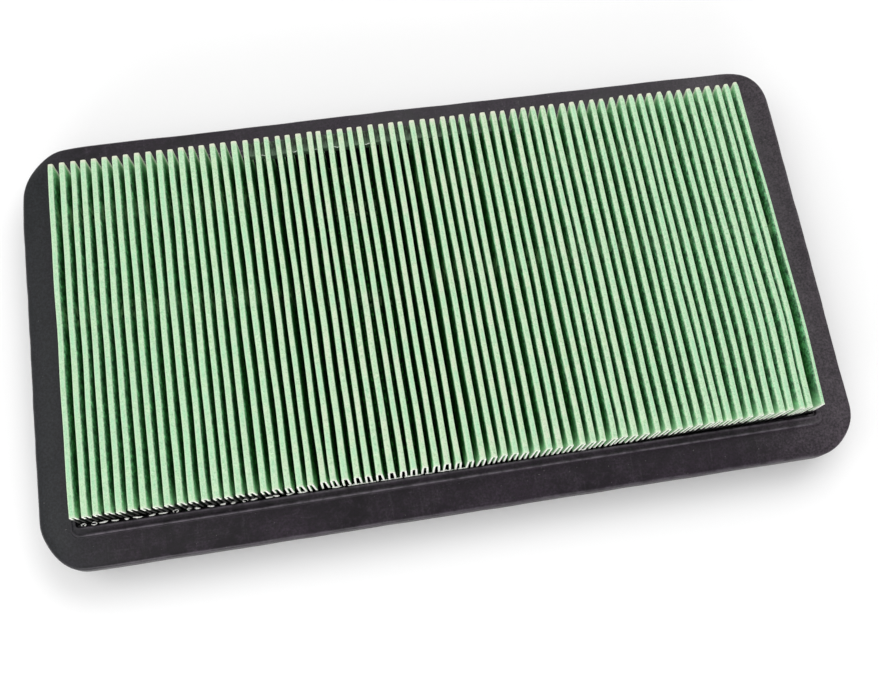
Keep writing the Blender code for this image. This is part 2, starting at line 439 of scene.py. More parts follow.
class Nodes:
    """A short way to add nodes to a material."""

    def __init__(self, name):
        self.material = bpy.data.materials.new(name)
        self.material.use_nodes = True
        self.tree = self.material.node_tree
        self.shader = self.tree.nodes["Principled BSDF"]
        self.coordinates = self.add("ShaderNodeTexCoord").outputs["Object"]

    def add(self, kind):
        return self.tree.nodes.new(kind)

    def put(self, value, node, socket):
        """Set a socket to a number or a colour, or link it to another node's output."""
        if isinstance(value, (int, float)):
            node.inputs[socket].default_value = value
        elif isinstance(value, tuple):
            node.inputs[socket].default_value = (*value, 1.0)
        else:
            self.tree.links.new(value, node.inputs[socket])

    def scaled(self, x, y, z):
        mapping = self.add("ShaderNodeMapping")
        mapping.inputs["Scale"].default_value = (x, y, z)
        self.put(self.coordinates, mapping, "Vector")
        return mapping.outputs["Vector"]

    def noise(self, scale, detail=4.0, roughness=0.55, vector=None, distortion=0.0):
        node = self.add("ShaderNodeTexNoise")
        self.put(scale, node, "Scale")
        self.put(detail, node, "Detail")
        self.put(roughness, node, "Roughness")
        self.put(distortion, node, "Distortion")
        self.put(vector or self.coordinates, node, "Vector")
        return node.outputs["Fac"]

    def ramp(self, value, stops):
        node = self.add("ShaderNodeValToRGB")
        elements = node.color_ramp.elements
        while len(elements) < len(stops):
            elements.new(0.5)
        for element, (position, color) in zip(elements, stops):
            element.position = position
            element.color = (*color, 1.0)
        self.put(value, node, "Fac")
        return node.outputs["Color"]

    def range(self, value, from_low, from_high, to_low, to_high):
        node = self.add("ShaderNodeMapRange")
        keys = ("From Min", "From Max", "To Min", "To Max")
        for key, number in zip(keys, (from_low, from_high, to_low, to_high)):
            self.put(number, node, key)
        self.put(value, node, "Value")
        return node.outputs["Result"]

    def math(self, operation, first, second):
        node = self.add("ShaderNodeMath")
        node.operation = operation
        self.put(first, node, 0)
        self.put(second, node, 1)
        return node.outputs[0]

    def mix(self, share, first, second, blend="MIX"):
        node = self.add("ShaderNodeMix")
        node.data_type = "RGBA"
        node.blend_type = blend
        for socket, value in ((0, share), (6, first), (7, second)):
            self.put(value, node, socket)
        return node.outputs[2]

    def grey(self, value):
        node = self.add("ShaderNodeCombineColor")
        for socket in range(3):
            self.put(value, node, socket)
        return node.outputs["Color"]

    def place(self, axis):
        """The object coordinate along X, Y or Z."""
        node = self.add("ShaderNodeSeparateXYZ")
        self.put(self.coordinates, node, "Vector")
        return node.outputs[axis]

    def near_feet_darkening(self):
        """How far up from their feet the near cut ends and folds are darkened: most at the left, least
        in between.

        It starts so many millimetres below the crown; places along the row are in metres.
        """
        depth, near = self.attribute("below_mm"), self.attribute("near_mm")
        left = self.range(self.place("X"), -0.062, -0.044, 4.0, 12.5)
        right = self.range(self.place("X"), 0.035, 0.065, 12.5, 8.6)
        start = self.math("MINIMUM", left, right)
        uneven = self.range(self.noise(420, detail=3), 0.35, 0.65, -1.3, 1.3)
        height = self.math("SUBTRACT", self.math("ADD", depth, uneven), start)
        share = self.range(height, -0.4, 0.8, 0.0, 0.96)
        return self.math("MULTIPLY", share, self.range(near, 0.8, 2.2, 1.0, 0.0))

    def attribute(self, name):
        node = self.add("ShaderNodeAttribute")
        node.attribute_name = name
        return node.outputs["Fac"]

    def bump(self, height, distance, strength=1.0, under=None):
        node = self.add("ShaderNodeBump")
        self.put(distance, node, "Distance")
        self.put(strength, node, "Strength")
        self.put(height, node, "Height")
        if under is not None:
            self.put(under, node, "Normal")
        return node.outputs["Normal"]

    def finish(self, color, roughness, normal=None, specular=0.5):
        sockets = {"Base Color": color, "Roughness": roughness, "Specular IOR Level": specular}
        for socket, value in sockets.items():
            self.put(value, self.shader, socket)
        if normal is not None:
            self.put(normal, self.shader, "Normal")
        return self.material


# Colours and colour stops of the paper, in linear light
CREST_STOPS = ((0.40, (0.28, 0.54, 0.29)), (0.50, (0.46, 0.71, 0.45)), (0.60, (0.66, 0.83, 0.62)))
# Painted shade: the panels' green darkens with depth below the fold tips
PANEL_SHADE_STOPS = (
    (0.04, (0.37, 0.66, 0.41)),
    (0.10, (0.205, 0.50, 0.265)),
    (0.25, (0.105, 0.36, 0.145)),
    (0.60, (0.040, 0.25, 0.050)),
    (1.00, (0.060, 0.42, 0.070)),
)
CUT_EDGE_STOPS = ((0.3, (0.70, 0.76, 0.62)), (0.5, (0.92, 0.93, 0.87)), (0.7, (0.97, 0.97, 0.94)))
FADED_FOLD = (0.55, 0.67, 0.47)
MINT_CLOUD = (0.39, 0.70, 0.48)
YELLOW_PATCH = (0.60, 0.74, 0.44)
FADED_LENGTH = (0.69, 0.70, 0.56)
MINT_LENGTH = (0.38, 0.71, 0.45)
GREENER_SIDES = (0.37, 0.73, 0.43)
CREST_RIM_HIGHLIGHT = (0.64, 0.83, 0.58)
DARK_FLECK = (0.25, 0.44, 0.25)
GLUE_BRIDGE_GLINT = (0.50, 0.80, 0.42)
LIT_PANEL = (0.43, 0.79, 0.45)
CREAM_FIBRE = (0.72, 0.76, 0.60)
CREAM_TIP = (0.78, 0.78, 0.63)
PALE_NEAR_END = (0.80, 0.84, 0.70)
NEAR_FEET_DARK = (0.005, 0.004, 0.005)
BRIDGE_ROWS = (6.0 * MM, 38.0 * MM)
MIDDLE_HALF, SIDES_FROM = 0.035, 0.08


def crest_color(nodes, mottle, cloud, patches):
    """Pale green crests, faded to cream here and there, most in the middle of the row, with a painted
    highlight along their two edges.
    """
    from_middle = nodes.math("ABSOLUTE", nodes.place("X"), 0.0)
    lengths = nodes.noise(1.0, detail=2, vector=nodes.scaled(330, 140, 330))
    flecks = nodes.noise(2300, detail=3, roughness=0.7)
    crest = nodes.ramp(mottle, CREST_STOPS)
    crest = nodes.mix(nodes.range(nodes.attribute("tint"), -1.0, 2.2, 0.0, 0.6), crest, FADED_FOLD)
    crest = nodes.mix(nodes.range(cloud, 0.42, 0.62, 0.0, 0.45), crest, MINT_CLOUD)
    crest = nodes.mix(nodes.range(patches, 0.46, 0.64, 0.0, 0.4), crest, YELLOW_PATCH)
    in_middle = nodes.range(from_middle, MIDDLE_HALF, SIDES_FROM, 1.0, 0.2)
    faded = nodes.math("MULTIPLY", nodes.range(lengths, 0.51, 0.62, 0.0, 0.5), in_middle)
    crest = nodes.mix(faded, crest, FADED_LENGTH)
    crest = nodes.mix(nodes.range(lengths, 0.38, 0.48, 0.6, 0.0), crest, MINT_LENGTH)
    crest = nodes.mix(nodes.range(from_middle, MIDDLE_HALF, SIDES_FROM, 0.0, 0.3), crest, GREENER_SIDES)
    # Painted highlight: the crest's two edges paler than its middle
    from_crest_line = nodes.math("ABSOLUTE", nodes.attribute("across"), 0.0)
    crest = nodes.mix(nodes.range(from_crest_line, 0.35, 0.68, 0.0, 0.7), crest, CREST_RIM_HIGHLIGHT)
    worn = nodes.range(nodes.place("X"), 0.0, 0.10, 0.55, 0.8)
    flecked = nodes.math("MULTIPLY", nodes.range(flecks, 0.54, 0.64, 0.0, 1.0), worn)
    return nodes.mix(flecked, crest, DARK_FLECK)


def panel_color(nodes, depth, mottle, patches):
    """Painted shade: green that darkens down the sides of the folds, with painted glints where bridges
    of glue lie in a few rows.
    """
    panel = nodes.ramp(nodes.range(depth, 0.0, 8.0, 0.0, 1.0), PANEL_SHADE_STOPS)
    for texture, low, high in ((mottle, 0.40, 0.60), (patches, 0.38, 0.62)):
        shade = nodes.grey(nodes.range(texture, low, high, 0.45, 1.5))
        panel = nodes.mix(1.0, panel, shade, blend="MULTIPLY")
    # Painted glints where glue bridges lie deep in the valleys
    bridge_glints = 0.0
    for row_y in BRIDGE_ROWS:
        away = nodes.math("ABSOLUTE", nodes.math("SUBTRACT", nodes.place("Y"), row_y), 0.0)
        bridge_glints = nodes.math("ADD", nodes.range(away, 1.5 * MM, 4.0 * MM, 1.0, 0.0), bridge_glints)
    bridge_glints = nodes.math("MULTIPLY", bridge_glints, nodes.range(depth, 2.0, 4.5, 0.0, 1.0))
    bridge_glints = nodes.math("MULTIPLY", bridge_glints, nodes.range(patches, 0.41, 0.55, 0.0, 0.9))
    return nodes.mix(bridge_glints, panel, GLUE_BRIDGE_GLINT)


def paper_material():
    """Resin-treated green filter paper: matted fibres, pale along the crests, with painted shade deeper
    down the folds and painted light near their open ends.
    """
    nodes = Nodes("filter_paper")
    depth = nodes.attribute("depth_mm")
    near, far = nodes.attribute("near_mm"), nodes.attribute("far_mm")
    mottle = nodes.noise(1050, detail=6, roughness=0.75)
    cloud = nodes.noise(170, detail=3)
    patches = nodes.noise(420, detail=4, roughness=0.65)
    strands = nodes.scaled(2600, 800, 1500)
    fibres = nodes.noise(1.0, detail=5, roughness=0.65, vector=strands, distortion=1.2)

    end = nodes.math("MINIMUM", near, far)
    lit = nodes.math("POWER", nodes.range(end, 0.0, 8.0, 1.0, 0.0), 1.6)
    panel = panel_color(nodes, depth, mottle, patches)
    panel = nodes.mix(nodes.math("MULTIPLY", lit, 0.78), panel, LIT_PANEL)
    crest = crest_color(nodes, mottle, cloud, patches)
    # Crest colour at the tips, and the panels with their painted shade below them
    color = nodes.mix(nodes.range(depth, 0.18, 0.62, 1.0, 0.0), panel, crest)
    shallow = nodes.range(depth, 0.2, 2.5, 1.0, 0.15)
    cream = nodes.math("MULTIPLY", nodes.range(fibres, 0.56, 0.70, 0.0, 0.6), shallow)
    color = nodes.mix(cream, color, CREAM_FIBRE)
    tips = nodes.math("ADD", far, nodes.range(mottle, 0.35, 0.65, -0.5, 0.5))
    color = nodes.mix(nodes.range(tips, 0.3, 1.5, 0.8, 0.0), color, CREAM_TIP)
    color = nodes.mix(nodes.range(near, 0.0, 0.9, 0.55, 0.0), color, PALE_NEAR_END)
    # Darker towards the feet of the near cut ends
    color = nodes.mix(nodes.near_feet_darkening(), color, NEAR_FEET_DARK)
    roughness = nodes.range(mottle, 0.3, 0.7, 0.78, 0.95)
    normal = nodes.bump(fibres, 0.10 * MM, 0.8)
    normal = nodes.bump(mottle, 0.16 * MM, 0.9, under=normal)
    return nodes.finish(color, roughness, normal, specular=0.2)


def cut_edge_material():
    """The sheet's cut ends: undyed fibres, almost white, darker towards their feet at the near end."""
    nodes = Nodes("cut_paper_edge")
    fray = nodes.noise(2200, detail=5, roughness=0.7)
    color = nodes.ramp(fray, CUT_EDGE_STOPS)
    # Darker towards the feet of the near cut ends
    color = nodes.mix(nodes.near_feet_darkening(), color, NEAR_FEET_DARK)
    roughness = nodes.range(fray, 0.3, 0.7, 0.75, 0.95)
    normal = nodes.bump(fray, 0.12 * MM, 0.8)
    return nodes.finish(color, roughness, normal, specular=0.25)


# Colours of the moulding, in linear light
RUBBER_STOPS = ((0.38, (0.0030, 0.0008, 0.0035)), (0.62, (0.0105, 0.0050, 0.0115)))
RUBBER_BLOTCH = (0.0215, 0.0140, 0.0230)
WIDE_SCUFF = (0.046, 0.040, 0.048)
TALL_SCUFF = (0.042, 0.036, 0.044)
BLUISH_LEFT = (0.0070, 0.0092, 0.0105)
RIGHT_SHEEN_COLOR = (0.040, 0.031, 0.039)
EDGE_HIGHLIGHT_COLOR = (0.110, 0.096, 0.115)
DUST_SPECK = (0.20, 0.19, 0.19)


def rubber_material():
    """Charcoal moulded polyurethane: mottled and scuffed, with a painted highlight along its rounded
    edges and a painted sheen towards the right.
    """
    nodes = Nodes("moulded_polyurethane")
    cloud = nodes.noise(45, detail=5, roughness=0.6)
    grain = nodes.noise(1500, detail=4, roughness=0.6)
    wide, tall = nodes.scaled(60, 420, 200), nodes.scaled(520, 70, 200)
    wide_strokes = nodes.noise(1.0, detail=6, roughness=0.7, vector=wide, distortion=0.8)
    tall_strokes = nodes.noise(1.0, detail=5, roughness=0.7, vector=tall, distortion=0.6)
    blotch = nodes.noise(260, detail=5, roughness=0.7)
    specks = nodes.noise(1250, detail=2, roughness=0.5)
    base = nodes.ramp(cloud, RUBBER_STOPS)
    base = nodes.mix(nodes.range(blotch, 0.46, 0.66, 0.0, 0.75), base, RUBBER_BLOTCH)
    base = nodes.mix(nodes.range(wide_strokes, 0.58, 0.74, 0.0, 0.4), base, WIDE_SCUFF)
    base = nodes.mix(nodes.range(tall_strokes, 0.56, 0.74, 0.0, 0.35), base, TALL_SCUFF)
    at_left = nodes.range(nodes.place("X"), -0.117, -0.100, 0.8, 0.0)
    base = nodes.mix(at_left, base, BLUISH_LEFT)
    # Painted sheen: the flange lighter towards the right, patchy with the blotches
    at_right = nodes.range(nodes.place("X"), 0.085, 0.117, 0.0, 1.0)
    right_sheen = nodes.math("MULTIPLY", at_right, nodes.range(blotch, 0.34, 0.60, 0.45, 1.0))
    base = nodes.mix(right_sheen, base, RIGHT_SHEEN_COLOR)
    grainy = nodes.grey(nodes.range(grain, 0.36, 0.64, 0.45, 1.75))
    base = nodes.mix(1.0, base, grainy, blend="MULTIPLY")
    # Painted highlight along the collar's and the flange's rounded edges, patchy with the blotches
    edge_highlight = nodes.range(blotch, 0.36, 0.58, 0.2, 1.0)
    edge_highlight = nodes.math("MULTIPLY", nodes.attribute("edge_highlight"), edge_highlight)
    base = nodes.mix(edge_highlight, base, EDGE_HIGHLIGHT_COLOR)
    color = nodes.mix(nodes.range(specks, 0.735, 0.78, 0.0, 0.5), base, DUST_SPECK)
    uneven = nodes.math("ADD", cloud, nodes.math("MULTIPLY", blotch, 0.4))
    roughness = nodes.range(uneven, 0.5, 0.9, 0.33, 0.54)
    normal = nodes.bump(grain, 0.05 * MM, 0.5)
    normal = nodes.bump(cloud, 0.5 * MM, 0.25, under=normal)
    normal = nodes.bump(blotch, 0.15 * MM, 0.35, under=normal)
    return nodes.finish(color, roughness, normal, specular=0.33)


# Colours of the glue, in linear light
GLUE_STOPS = ((0.3, (0.20, 0.27, 0.17)), (0.7, (0.38, 0.44, 0.30)))
# Painted shade: the glue film is as dark as the shaded valleys under it
FILM_SHADE_STOPS = ((0.40, (0.006, 0.012, 0.004)), (0.5, (0.016, 0.030, 0.014)), (0.62, (0.09, 0.13, 0.085)))
FILM_FRONT = (0.15, 0.23, 0.15)
SQUEEZED_STOPS = ((0.32, (0.42, 0.45, 0.40)), (0.5, (0.80, 0.80, 0.76)), (0.7, (0.95, 0.95, 0.93)))


def glue_material():
    """Hot-melt glue inside the folds: slightly clear, so it takes the paper's green."""
    nodes = Nodes("hot_melt_glue")
    cloud = nodes.noise(500, detail=3)
    color = nodes.ramp(cloud, GLUE_STOPS)
    roughness = nodes.range(cloud, 0.3, 0.7, 0.30, 0.48)
    normal = nodes.bump(cloud, 0.12 * MM, 0.5)
    return nodes.finish(color, roughness, normal)


def film_material():
    """A thin film of glue coloured with painted shade, as dark as the valleys it lies in, streaked and
    paler at its front.
    """
    nodes = Nodes("glue_film_painted_shade")
    streak = nodes.noise(1.0, detail=4, vector=nodes.scaled(2200, 420, 900), roughness=0.6)
    color = nodes.ramp(streak, FILM_SHADE_STOPS)
    color = nodes.mix(nodes.range(nodes.attribute("front"), 0.45, 1.0, 0.0, 0.55), color, FILM_FRONT)
    roughness = nodes.range(streak, 0.3, 0.7, 0.35, 0.6)
    normal = nodes.bump(streak, 0.15 * MM, 0.8)
    return nodes.finish(color, roughness, normal, specular=0.3)


def squeezed_glue_material():
    """Glue that squeezed out and set in the open: milky white with clear patches."""
    nodes = Nodes("squeezed_glue")
    cloud = nodes.noise(900, detail=4, roughness=0.6)
    color = nodes.ramp(cloud, SQUEEZED_STOPS)
    roughness = nodes.range(cloud, 0.3, 0.7, 0.22, 0.45)
    normal = nodes.bump(cloud, 0.15 * MM, 0.7)
    return nodes.finish(color, roughness, normal)


# ---- the moulded frame


SIDE_STEPS_LONG = 90
SIDE_STEPS_SHORT = 50
CORNER_STEPS = 20

COLLAR_END_SHARE = 0.5
COLLAR_END_HIGHLIGHT = 0.25
NEAR_SHELF_GAP = 0.1 * MM
FAR_SHELF_REACH = 0.2 * MM
SIDE_SHELF_REACH = 0.35 * MM

# How the soft flange lies, in millimetres at its outer edge
RIGHT_CURL = 2.1
FAR_CURL_SHARE = 0.9
LEFT_DROOP = 1.8
NEAR_DROOP = 0.8
FAR_RAISE = 0.3
FAR_LEFT_DROOP = 0.8
EVEN_PULL = 0.06
LEFT_PULL = 0.85
FAR_LEFT_PULL = 0.25
LEAST_PULL = 0.01
CORNER_PULLS = ((-136.5, 0.3), (136.5, 0.9))
CORNER_PULL_WIDTH = 0.10


def outline(half_length, half_width, radius):
    """A rounded rectangle, anticlockwise, with the same number of points each time."""
    arcs = []
    for corner, (side_x, side_y) in enumerate([(1, 1), (-1, 1), (-1, -1), (1, -1)]):
        centre = np.array([side_x * (half_length - radius), side_y * (half_width - radius)])
        angles = [(corner + step / CORNER_STEPS) * math.pi / 2 for step in range(CORNER_STEPS + 1)]
        arcs.append([centre + radius * np.array([math.cos(a), math.sin(a)]) for a in angles])
    points = []
    for corner, arc in enumerate(arcs):
        steps = SIDE_STEPS_LONG if corner % 2 == 0 else SIDE_STEPS_SHORT
        start, end = arc[-1], arcs[(corner + 1) % len(arcs)][0]
        points += arc + [start + (end - start) * step / steps for step in range(1, steps)]
    return np.array(points)


def wall_outline(offset, end_share=1.0):
    """The window's outline moved outwards by offset, or by end_share of it at its two ends."""
    window = (MEDIA_HIGH[0] + WINDOW_GAP, MEDIA_HIGH[1] + WINDOW_GAP)
    corner = max(WINDOW_CORNER + offset * end_share, 0.3 * MM)
    return outline(window[0] + offset * end_share, window[1] + offset, corner)


def arc_profile(centre, radius, start_degrees, end_degrees, steps):
    """Profile points (offset, z) on an arc."""
    return [
        (centre[0] + radius * math.cos(math.radians(a)), centre[1] + radius * math.sin(math.radians(a)))
        for a in np.linspace(start_degrees, end_degrees, steps + 1)
    ]


def frame_profile(span):
    """The moulding's section, inner foot first.

    Each ring is (base outline, offset or share of the way out, z, how much painted edge highlight).
    """
    edge, flange_edge, fillet = 0.45 * MM, 0.95 * MM, 0.35 * MM
    groove_z = COLLAR_TOP_Z - 0.16 * MM

    rings = [("wall", -LIP_REACH, LIP_TOP_Z, 0.0), ("wall", 0.0, LIP_TOP_Z, 0.0)]
    rings += [("wall", 0.0, 0.45 * FLANGE_TOP_Z, 0.0), ("wall", 0.0, SHELF_Z - 1.2 * MM, 0.0)]
    rings += [("shelf", 1.0, SHELF_Z - 0.25 * MM, 0.0), ("shelf", 0.85, SHELF_Z, 0.0)]
    rings += [("wall", 0.0, SHELF_Z + 0.15 * MM, 0.0)]
    inner = arc_profile((edge, COLLAR_TOP_Z - edge), edge, 180, 65, 5)
    rings += [("wall", x, z, highlight) for (x, z), highlight in zip(inner, (0.0, 0.1, 0.5, 0.9, 1.0, 0.5))]
    rings += [("wall", 0.35 * WALL, groove_z, 0.0), ("wall", 0.65 * WALL, groove_z, 0.0)]
    outer = arc_profile((WALL - edge, COLLAR_TOP_Z - edge), edge, 115, 0, 5)
    rings += [("wall", x, z, highlight) for (x, z), highlight in zip(outer, (0.4, 0.9, 1.0, 0.8, 0.4, 0.1))]

    foot = arc_profile((fillet, FLANGE_TOP_Z + fillet), fillet, 180, 270, 4)
    rings += [("flange", x / span, z, 0.0) for x, z in foot]
    rings += [("flange", share, FLANGE_TOP_Z, 0.0) for share in (0.12, 0.25, 0.4, 0.55, 0.7, 0.82)]
    top_edge = arc_profile((span - flange_edge, FLANGE_TOP_Z - flange_edge), flange_edge, 90, 0, 6)
    top_highlight = (0.0, 0.1, 0.3, 0.4, 0.3, 0.1, 0.0)
    rings += [("flange", x / span, z, highlight) for (x, z), highlight in zip(top_edge, top_highlight)]
    low_edge = arc_profile((span - flange_edge, FLANGE_BOTTOM_Z + flange_edge), flange_edge, 0, -90, 6)
    rings += [("flange", x / span, z, 0.0) for x, z in low_edge]
    rings += [("flange", share, FLANGE_BOTTOM_Z, 0.0) for share in (0.7, 0.4, 0.15)]
    under = arc_profile((fillet, FLANGE_BOTTOM_Z - fillet), fillet, 90, 180, 4)
    rings += [("flange", x / span, z, 0.0) for x, z in under]

    rim = [(WALL, 0.5 * FLANGE_BOTTOM_Z)] + arc_profile((WALL - edge, edge), edge, 0, -90, 5)
    rim += [(0.35 * WALL, 0.0), (0.1 * MM, LIP_BOTTOM_Z), (-LIP_REACH, LIP_BOTTOM_Z)]
    return rings + [("wall", x, z, 0.0) for x, z in rim]


def on_the_shelf(share):
    """The window's outline moved in to meet the paper, more where the near cut ends stand back."""
    window = wall_outline(0.0)
    x, y = window[:, 0], window[:, 1]
    along = np.clip(x / FOLDS.ridge_x[-1], -1.0, 1.0)
    near_reach = share * np.maximum(FOLDS.near_end(along) - y - NEAR_SHELF_GAP, 0.0)
    at_near, at_far = y < -0.9 * MEDIA_HALF_WIDTH, y > 0.9 * MEDIA_HALF_WIDTH
    at_side = np.abs(x) > 0.98 * MEDIA_HIGH[0]
    moved_x = x - np.sign(x) * np.where(at_side, share * SIDE_SHELF_REACH, 0.0)
    moved_y = y + np.where(at_near, near_reach, 0.0) - np.where(at_far, share * FAR_SHELF_REACH, 0.0)
    return np.stack([moved_x, moved_y], axis=1)


def build_frame():
    """One closed skin, lofted round the element from a profile of the wall, collar and flange."""
    flange = outline(FRAME_HIGH[0], FRAME_HIGH[1], FLANGE_CORNER)
    span = FRAME_HIGH[1] - wall_outline(WALL)[:, 1].max()
    # The painted edge highlight is weaker at the collar's two ends
    end_highlight = np.where(np.abs(wall_outline(0.0)[:, 0]) > 0.995 * MEDIA_HIGH[0], COLLAR_END_HIGHLIGHT, 1.0)
    layers, edge_highlight = [], []
    for kind, place, z, highlight in frame_profile(span):
        end_share = COLLAR_END_SHARE if z > (FLANGE_TOP_Z + FLANGE_BOTTOM_Z) / 2 else 1.0
        wall = wall_outline(WALL, end_share)
        if kind == "wall":
            flat, reach = wall_outline(place, end_share), 0.0
        elif kind == "shelf":
            flat, reach = on_the_shelf(place), 0.0
        else:
            flat, reach = wall + (flange - wall) * place, place
        layers.append(flexed(flat, z, reach, flange))
        edge_highlight += list(highlight * end_highlight)
    faces = turned_over(loft_faces(len(layers), len(flange), closed=True))
    piece = mesh_object("moulded_frame", np.concatenate(layers), faces, smooth_angle=40)
    point_attribute(piece, "edge_highlight", edge_highlight)
    piece.data.materials.append(rubber_material())
    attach(piece, "root")
    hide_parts("seal_frame")


def flexed(flat, z, reach, flange):
    """The soft flange's waves: the right curls up, the left and near sides droop, corners pull in."""
    side_x, side_y = flange[:, 0] / FRAME_HIGH[0], flange[:, 1] / FRAME_HIGH[1]
    angle = np.arctan2(side_y, side_x)
    lift = 0.20 * np.sin(3 * angle + 0.6) + 0.14 * np.sin(7 * angle + 2.0) + 0.05 * np.sin(17 * angle)
    far_side = smooth_step(side_y, 0.85, 1.0)
    curl = RIGHT_CURL * smooth_step(side_x, 0.82 + 0.06 * far_side, 1.0)
    lift += curl * (1.0 + FAR_CURL_SHARE * side_y)
    lift -= LEFT_DROOP * smooth_step(-side_x, 0.82, 1.0)
    lift -= NEAR_DROOP * smooth_step(-side_y, 0.85, 1.0) * smooth_step(side_x, -0.95, -0.5)
    raised = FAR_RAISE * smooth_step(side_x, -0.1, 0.3) * (1.0 - smooth_step(side_x, 0.7, 0.9))
    lift += far_side * (raised - FAR_LEFT_DROOP * smooth_step(-side_x, 0.0, 0.5))
    inward = EVEN_PULL + LEFT_PULL * smooth_step(-side_x, 0.9, 1.0) + 0.03 * np.sin(5 * angle + 1.0)
    inward += FAR_LEFT_PULL * far_side * smooth_step(-side_x, -0.05, 0.5)
    for corner, amount in CORNER_PULLS:
        from_corner = (angle - math.radians(corner)) / CORNER_PULL_WIDTH
        inward += amount * np.exp(-(from_corner**2))
    inward += 0.04 * np.sin(31 * angle) + 0.03 * np.sin(57 * angle + 1.0)
    inward = np.maximum(inward, LEAST_PULL) * MM * reach
    pull_x = np.abs(flat[:, 0] / FRAME_HIGH[0]) ** 6 * np.sign(flat[:, 0])
    pull_y = np.clip(np.abs(flat[:, 1] / FRAME_HIGH[1]) * 2.0, 0.0, 1.0) ** 2 * np.sign(flat[:, 1])
    x, y = flat[:, 0] - pull_x * inward, flat[:, 1] - pull_y * inward
    return np.stack([x, y, z + lift * MM * reach**2], axis=1)


# ---- hot-melt glue


GLUE = glue_material()
SQUEEZED_GLUE = squeezed_glue_material()

# Beads: a tooth's outline as (side, share of its height), and how it keeps clear of the paper
TOOTH = ((1, 0.0), (1, 0.5), (1, 0.97), (1, 1.0), (-1, 1.0), (-1, 0.97), (-1, 0.5), (-1, 0.0))
TOOTH_GAP = 0.10 * MM
LEAST_TOOTH = 0.12 * MM
TOOTH_ROUNDING = 0.45
TIP_SHARE = 0.6
STRIP_GAP = 0.12 * MM
END_GLUE_WIDTH = 1.4 * MM
END_GLUE_DROP = 0.9 * MM

# Squeezed-out glue: how often it is there, and the folds or valleys (by number) it runs over
LUMPS_AT_LEFT = 0.97
LUMPS_ELSEWHERE = 0.04
LOOP_SHARE = 0.15
THREAD_SHARE = 0.6
THREAD_FOLDS = range(22, 38)
FILL_FIRST, FILL_FADE, FILL_LAST = 18, 32, 46
BEAD_DENSE_LAST, BEAD_LAST = 25, 32


def channel_at(pleat, y_share, z):
    """Centre and half width of the channel under a ridge at height z."""
    top_z = FOLDS.crown_z(pleat, y_share) - PAPER
    share = (z - MEDIA_BOTTOM_Z) / (top_z - MEDIA_BOTTOM_Z)
    left, right = FOLDS.ridge_x[0] - PITCH / 2, FOLDS.ridge_x[-1] + PITCH / 2
    if pleat > 0:
        left = FOLDS.valley_centre(pleat - 1, y_share)
    if pleat < PLEAT_COUNT - 1:
        right = FOLDS.valley_centre(pleat, y_share)
    low_centre, low_half = (left + right) / 2, (right - left) / 2 - FOLD_HALF
    top_centre, top_half = FOLDS.crown_x(pleat, y_share), FOLDS.crown_half(pleat, y_share) - PAPER
    return low_centre + share * (top_centre - low_centre), low_half + share * (top_half - low_half)


def build_comb(name, node, low, high, top_z):
    """A bead of glue: a strip under the folds, with a tooth up each channel that opens downwards."""
    middle, half_width = (low[1] + high[1]) / 2, (high[1] - low[1]) / 2
    strip_z = MEDIA_BOTTOM_Z - STRIP_GAP
    rings = []
    for y in np.linspace(low[1], high[1], 5):
        y_share = y / MEDIA_HALF_WIDTH
        from_middle = (abs(y - middle) / half_width) ** 2
        round_off = 1.0 - TOOTH_ROUNDING * from_middle
        points = []
        for pleat in reversed(range(PLEAT_COUNT)):
            for side, share in TOOTH:
                height = strip_z + (top_z - strip_z) * share
                centre, half = channel_at(pleat, y_share, max(height, MEDIA_BOTTOM_Z))
                half = max(half - TOOTH_GAP, LEAST_TOOTH) * (TIP_SHARE if share == 1.0 else 1.0)
                points.append((centre + side * half * round_off, y, height))
        lowest = low[2] + (strip_z - low[2]) * 0.5 * from_middle
        bottom_x = np.linspace(points[-1][0], points[0][0], 4 * PLEAT_COUNT)
        rings.append(np.array(points + [(x, y, lowest) for x in bottom_x]))
    around, total = len(rings[0]), len(rings) * len(rings[0])
    faces = turned_over(loft_faces(len(rings), around)).tolist()
    faces += [range(around), range(total - around, total)[::-1]]
    piece = mesh_object(name, np.concatenate(rings), faces, smooth_angle=45)
    piece.data.materials.append(GLUE)
    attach(piece, "root")
    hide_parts(node)


def build_glue():
    """The two end seals, narrowed to their inner part, and the three spacer beads."""
    for side in ("near", "far"):
        low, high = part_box("edge_seal_" + side)
        if side == "near":
            low = (low[0], high[1] - END_GLUE_WIDTH, low[2])
        else:
            high = (high[0], low[1] + END_GLUE_WIDTH, high[2])
        build_comb("end_glue_" + side, "edge_seal_" + side, low, high, high[2] - END_GLUE_DROP)
    for place in ("near", "centre", "far"):
        low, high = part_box("spacer_bead_" + place)
        build_comb("spacer_glue_" + place, "spacer_bead_" + place, low, high, high[2])


def lump(random, centre, size):
    """A blob of set glue: a small sphere with an uneven radius. Vertices and faces."""
    rows, columns = 6, 10
    phase = random.uniform(0, 2 * math.pi, size=3)
    vertices = [centre - np.array([0, 0, size[2]])]
    for row in range(1, rows):
        tilt = math.pi * row / rows
        for column in range(columns):
            turn = 2 * math.pi * column / columns
            uneven = 1.0 + 0.22 * math.sin(2 * turn + phase[0])
            uneven += 0.14 * math.sin(3 * turn + 2 * tilt + phase[1])
            flat = math.sin(tilt)
            way = np.array([flat * math.cos(turn), flat * math.sin(turn), -math.cos(tilt)])
            vertices.append(centre + way * size * uneven)
    vertices.append(centre + np.array([0, 0, size[2]]))
    top = len(vertices) - 1
    faces = []
    for column in range(columns):
        beside = (column + 1) % columns
        faces.append((0, 1 + beside, 1 + column))
        for row in range(rows - 2):
            a, b = 1 + row * columns, 1 + (row + 1) * columns
            faces.append((a + column, a + beside, b + beside, b + column))
        last = 1 + (rows - 2) * columns
        faces.append((last + column, last + beside, top))
    return vertices, faces


